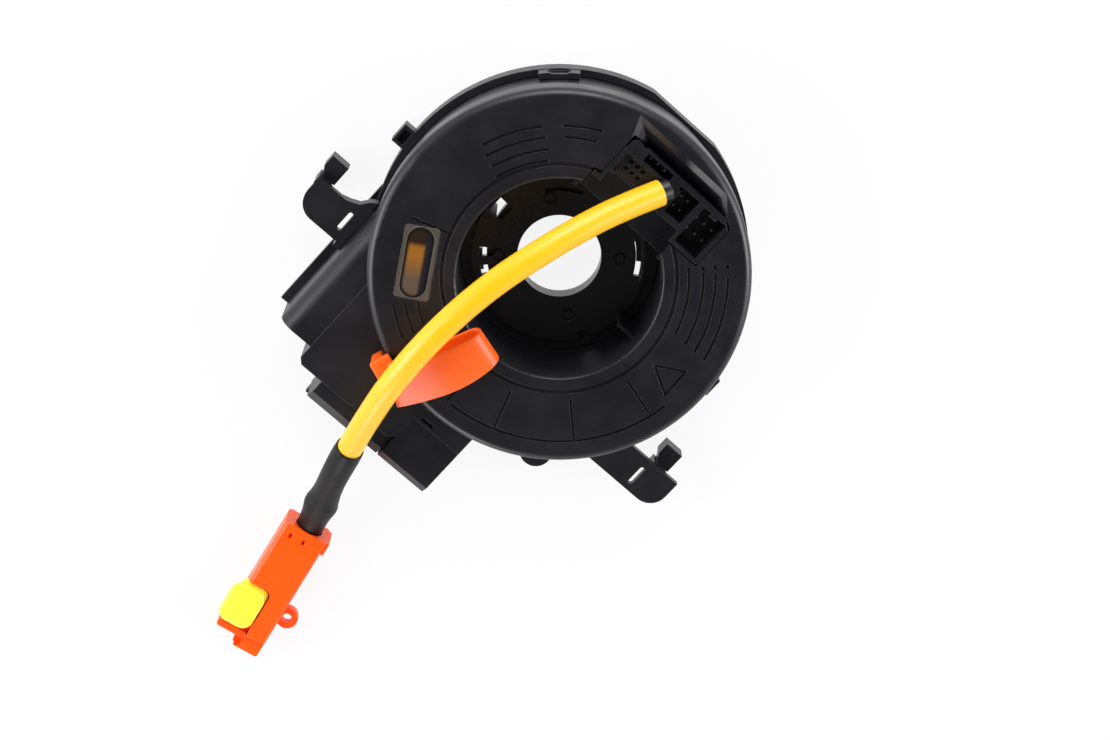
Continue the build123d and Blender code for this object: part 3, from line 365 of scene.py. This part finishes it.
def rounded_block(size, corner, edge, low, top, dome):
    """Block with rounded edges, from low to top.

    The outline is drawn in by edge (1 - sin a) at the height edge (1 - cos a).  The top then
    rises by dome (1 - s * s) as the outline shrinks to the share s of itself.
    """
    def layer(outline, z):
        return np.column_stack([outline, np.full(len(outline), z)])

    length, width = size
    bend = np.linspace(0, pi / 2, 5)
    inset = np.concatenate([edge * (1 - np.sin(bend)), edge * (1 - np.cos(bend))])
    height = np.concatenate([low + edge * (1 - np.cos(bend)),
                             top - dome - edge * (1 - np.sin(bend))])
    rows = [layer(rounded_rectangle(length - 2 * i, width - 2 * i, corner - i), z)
            for i, z in zip(inset, height)]
    crown = rows[-1][:, :2]
    for share in (0.85, 0.65, 0.4, 0.15, 0.02):
        rows.append(layer(crown * share, top - dome * share * share))
    return np.array(rows)


def placed(points, origin, x_aim, up=(0, 0, 1)):
    """Local points carried to origin, with local x along x_aim and local z along up."""
    x_dir, z_dir = unit(x_aim), unit(up)
    return np.asarray(origin) + points @ np.array([x_dir, np.cross(z_dir, x_dir), z_dir])


def arc_through(first, middle, last, count):
    """Points on the circle through three points of a plane, from the first to the last."""
    first, middle, last = (complex(*point) for point in (first, middle, last))
    w = (last - first) / (middle - first)
    centre = (middle - first) * (w - abs(w) ** 2) / (w - w.conjugate()) + first
    radius = abs(first - centre)
    turns = np.unwrap(np.angle(np.array([first, middle, last]) - centre))
    angle = np.interp(np.linspace(0, 1, count), [0, 0.5, 1], turns)
    return np.column_stack([centre.real + radius * np.cos(angle),
                            centre.imag + radius * np.sin(angle)])


def strap_loop():
    """Middle line of the strap's band: a bowed layer, a tight fold and a flat layer back.

    Two arcs and a line through points at shares of the band's length and rise, moved in by
    shares of half its wall, and evened out by a running mean of five points.
    """
    half = STRAP_WALL / 2
    root = (half * 4.5, half)
    crest = (STRAP_LENGTH * 0.9 - half * 0.3, STRAP_RISE * 0.84 - half)
    low = (STRAP_LENGTH * 0.93 - half * 0.4, STRAP_GAP + half)
    bowed = arc_through(root, (STRAP_LENGTH * 0.45, STRAP_RISE * 0.8 - half), crest, 28)
    fold = arc_through(crest, (STRAP_LENGTH - half, STRAP_RISE * 0.45), low, 16)
    back = np.linspace(low, root, 24)
    line = np.vstack([bowed[:-1], fold[:-1], back[:-1]])
    wrapped = np.vstack([line[-2:], line, line[:2]])
    return sum(wrapped[k:k + len(line)] for k in range(5)) / 5


def strap_band():
    """The loop's line, with a rounded strip section (s, t) carried round it.

    A point is line + side * s' + normal * t.  With u the share of the band's length, s' is s
    widened by a * (1 - u ** 4) below and by b * (1 - u / 0.3) ** 2 above, and the lower half
    lies back along the band by c * (1 - u / 0.4) ** 1.5; a, b and c are the driving sizes.
    """
    line = strap_loop()
    share = line[:, :1] / STRAP_LENGTH
    side = STRAP_SIDE + (share - 0.5) * STRAP_TWIST
    side /= np.linalg.norm(side, axis=1, keepdims=True)
    upward = unit(np.cross(STRAP_SIDE, STRAP_AIM))
    path = STRAP_ROOT + line[:, :1] * STRAP_AIM + line[:, 1:] * upward
    slant = STRAP_SLANT * np.clip(1 - share / 0.4, 0, 1) ** 1.5
    tangent = np.roll(path, -1, axis=0) - np.roll(path, 1, axis=0)
    normal = np.cross(side, tangent)
    normal /= np.linalg.norm(normal, axis=1, keepdims=True)
    section = rounded_rectangle(STRAP_WIDTH, STRAP_WALL, STRAP_CORNER)
    strip = section[None, :, 0]
    below = STRAP_SPREAD[0] * (1 - np.clip(share, 0, 1) ** 4)
    above = STRAP_SPREAD[1] * np.clip(1 - share / 0.3, 0, 1) ** 2
    across = strip + np.where(strip > 0, below, -above)
    slanted = slant * (strip > 0)
    return (path[:, None] + side[:, None] * across[..., None]
            + normal[:, None] * section[None, :, 1:] - slanted[..., None] * STRAP_AIM)


def make_strap():
    """Transport strap: folded band, neck over the rim, head at the skirt and locking pin."""
    outward = np.array((cos(radians(LOCK_ANGLE)), sin(radians(LOCK_ANGLE)), 0.0))
    grids = [(strap_band(), True, True, False)]
    for size, tall, (radius, height) in ((LOCK_HEAD, LOCK_HEAD_HEIGHT, LOCK_HEAD_SPOT),
                                         (LOCK_NECK, LOCK_NECK_HEIGHT, LOCK_NECK_SPOT)):
        block = rounded_block(size, LOCK_CORNER, LOCK_EDGE, 0, tall, LOCK_DOME)
        block = placed(block, outward * radius + (0, 0, height), outward)
        grids.append((block, False, True, True))
    reach = np.array(LOCK_PIN_REACH) * MM
    pin_line = outward * reach[:, None] + (0, 0, LOCK_PIN_HEIGHT)
    pin = carried_ring(pin_line, LOCK_PIN_RADIUS * np.array(LOCK_PIN_TAPER), sides=24)
    grids.append((pin, False, True, True))
    return grid_mesh("pull_strap", grids, STRAP_ORANGE)


def make_button():
    """Lock button of the squib connector: a foot in the pocket under a wide, crowned pad."""
    blocks = []
    for sizes in (BUTTON_FOOT, BUTTON_PAD):
        length, width, corner, edge, low, top = sizes[:6]
        block = rounded_block((length, width), corner, edge, low, top, BUTTON_DOME)
        block[..., :2] += sizes[6:]
        blocks.append((placed(block, SQUIB_REAR, SQUIB_AIM), False, True, True))
    return grid_mesh("squib_lock_pad", blocks, BUTTON_YELLOW)


def route_spline(name, route):
    """A NURBS curve of order 3 whose controls are the route's points, in millimetres."""
    curve = bpy.data.curves.new(name, "CURVE")
    curve.dimensions = "3D"
    spline = curve.splines.new("NURBS")
    spline.points.add(len(route) - 1)
    for control, point in zip(spline.points, route):
        control.co = (*[value * MM for value in point], 1.0)
    spline.order_u = 3
    spline.use_endpoint_u = True
    spline.resolution_u = 16
    curve.resolution_u = 16
    return linked_object(name, curve)


def read_line(route):
    """The route's smooth centreline as an array of points, read from its NURBS spline."""
    holder = route_spline("route_reader", route)
    holder.data.splines[0].resolution_u = 32
    depsgraph = bpy.context.evaluated_depsgraph_get()
    mesh = bpy.data.meshes.new_from_object(holder.evaluated_get(depsgraph))
    line = np.array([vertex.co[:] for vertex in mesh.vertices])
    bpy.data.objects.remove(holder)
    bpy.data.meshes.remove(mesh)
    return line


def carried_ring(line, radii, sides=40):
    """Rings round a line: centre + radius (side cos a + rise sin a).

    side and rise are square to the line and are carried along it without twist.
    """
    tangent = np.gradient(line, axis=0)
    tangent /= np.linalg.norm(tangent, axis=1, keepdims=True)
    side = np.cross(tangent[0], (0, 0, 1))
    sides_out = []
    for direction in tangent:
        side = side - direction * np.dot(side, direction)
        side /= np.linalg.norm(side)
        sides_out.append(side)
    side = np.array(sides_out)
    rise = np.cross(tangent, side)
    angle = np.linspace(0, 2 * pi, sides, endpoint=False)
    across = side[:, None] * np.cos(angle)[None, :, None]
    upward = rise[:, None] * np.sin(angle)[None, :, None]
    return line[:, None] + radii[:, None, None] * (across + upward)


def make_lead():
    """Yellow sheath on a smooth line, and the shrink sleeve over its lower end.

    The sleeve's radius follows what is inside it: the sheath, the two wires, then the joint.
    Each crease scales it by 1 + depth exp(-((u - place) / spread) ** 2) cos(waves a + turn),
    with u the share of its length and a the angle round it.
    """
    tube = route_spline("lead_sheath", TUBE_ROUTE)
    tube.data.bevel_depth = TUBE_RADIUS
    tube.data.bevel_resolution = 12
    tube.data.use_fill_caps = True
    tube.data.materials.append(PVC_YELLOW)
    line = read_line(SLEEVE_ROUTE)
    share = np.linspace(0, 1, len(line))
    radii = SLEEVE_RADIUS * np.interp(share, SLEEVE_KNOTS, SLEEVE_WIDTHS)
    radii = np.convolve(np.pad(radii, 3, mode="edge"), np.ones(7) / 7, mode="valid")
    rings = carried_ring(line, radii)
    angle = np.linspace(0, 2 * pi, rings.shape[1], endpoint=False)
    crease = sum(depth * np.exp(-((share - spot) / spread) ** 2)[:, None]
                 * np.cos(waves * angle + turn)
                 for depth, spot, spread, waves, turn in SLEEVE_CREASES)
    rings = line[:, None] + (rings - line[:, None]) * (1 + crease)[..., None]
    sleeve = grid_mesh("lead_shrink_sleeve", [(rings, False, True, True)], SHRINK_BLACK)
    return tube, sleeve


lock_pad = make_button()
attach(lock_pad, "squib_lock")
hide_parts("lock_button")
lead_sheath, lead_shrink = make_lead()
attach(lead_sheath, "rotor")
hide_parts("lead_tube")
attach(lead_shrink, "rotor")
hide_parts("lead_sleeve")

pull_strap = make_strap()
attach(pull_strap, "transport_strap")
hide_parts("transport_lock")


# ============================================================================================
# Stage, lights and camera
# ============================================================================================
FLOOR_HALF = 1.5             # half the floor's width
FLOOR_GLOW = 0.9             # share of its own light where it is seen directly
# Square area lamps, aimed at the origin: name, place, width in metres and power in watts
SOFTBOXES = [
    ("right", (0.95, 0.75, 0.62), 0.8, 13),
    ("top", (-0.75, 0.95, 0.70), 0.8, 12),
    ("left", (-0.80, -0.75, 0.60), 0.8, 11),
    ("front", (0.29, -1.13, 0.46), 0.5, 4),
]


def make_stage():
    """A pale floor in the resting plane, part paper and part light for what sees it directly."""
    corners = np.array([[[-1, -1, 0], [1, -1, 0]], [[-1, 1, 0], [1, 1, 0]]]) * FLOOR_HALF
    material, tree = blank_material("pale_floor")
    rays = add_node(tree, "ShaderNodeLightPath")
    seen = add_node(tree, "ShaderNodeMath", {0: rays.outputs["Is Camera Ray"],
                                             1: rays.outputs["Is Glossy Ray"]},
                    operation="MAXIMUM")
    seen = add_node(tree, "ShaderNodeMath", {0: seen.outputs[0],
                                             1: rays.outputs["Is Transmission Ray"]},
                    operation="MAXIMUM")
    share = add_node(tree, "ShaderNodeMath", {0: seen.outputs[0]}, operation="MULTIPLY")
    share.inputs[1].default_value = FLOOR_GLOW
    paper = add_node(tree, "ShaderNodeBsdfDiffuse", Color=linear("#fbfbfc"))
    glow = add_node(tree, "ShaderNodeEmission", Color=linear("#fdfdfe"), Strength=1.0)
    mixed = add_node(tree, "ShaderNodeMixShader", {0: share.outputs[0], 1: paper.outputs[0],
                                                   2: glow.outputs[0]})
    add_node(tree, "ShaderNodeOutputMaterial", {"Surface": mixed.outputs[0]})
    floor = grid_mesh("floor", [(corners, False, False, False)], material, smooth=False)


def add_softbox(name, place, width, power):
    """A square area lamp at place, aimed at the origin."""
    data = bpy.data.lights.new(name, "AREA")
    data.size = width
    data.energy = power
    aim = (-Vector(place)).to_track_quat("-Z", "Y")
    linked_object(name, data).matrix_world = Matrix.LocRotScale(place, aim, None)


def make_camera():
    """Long lens 700 mm from the face, leaning 17 degrees, with the object turned 42 degrees."""
    turn = radians(42.0)        # object's turn on the table, seen by the camera
    sight = radians(15.05)      # line from the rotor face's centre to the lens, off the axis
    lean = radians(17.155)      # lens axis off the steering axis
    pan = radians(0.10)
    distance = 0.700
    place = Vector((0, distance * sin(sight), distance * cos(sight)))
    spin = Matrix.Rotation(turn, 4, "Z")
    data = bpy.data.cameras.new("camera")
    data.lens = 79.69
    data.sensor_width = 36.0
    data.clip_start = 0.01
    camera = linked_object("camera", data)
    camera.matrix_world = (Matrix.Translation(spin @ place + Vector((0, 0, FACE))) @ spin
                           @ Matrix.Rotation(-lean, 4, "X") @ Matrix.Rotation(pan, 4, "Y"))
    bpy.context.scene.camera = camera


def make_world():
    """White surroundings that grow dim overhead, where the camera stands.

    With h the height of the direction, strength is 0.95 below h = 0.30 and falls evenly to
    0.12 at h = 0.85.
    """
    world = bpy.data.worlds.new("studio")
    world.use_nodes = True
    tree = world.node_tree
    tree.nodes.clear()
    direction = add_node(tree, "ShaderNodeTexCoord").outputs["Generated"]
    height = add_node(tree, "ShaderNodeSeparateXYZ", {"Vector": direction}).outputs["Z"]
    strength = map_range(tree, height, (0.30, 0.85), (0.95, 0.12))
    ground = add_node(tree, "ShaderNodeBackground", {"Strength": strength},
                      Color=(1, 1, 1, 1))
    add_node(tree, "ShaderNodeOutputWorld", {"Surface": ground.outputs["Background"]})
    bpy.context.scene.world = world


make_stage()
make_world()
for softbox in SOFTBOXES:
    add_softbox(*softbox)
make_camera()
bpy.context.scene.view_settings.view_transform = "Standard"
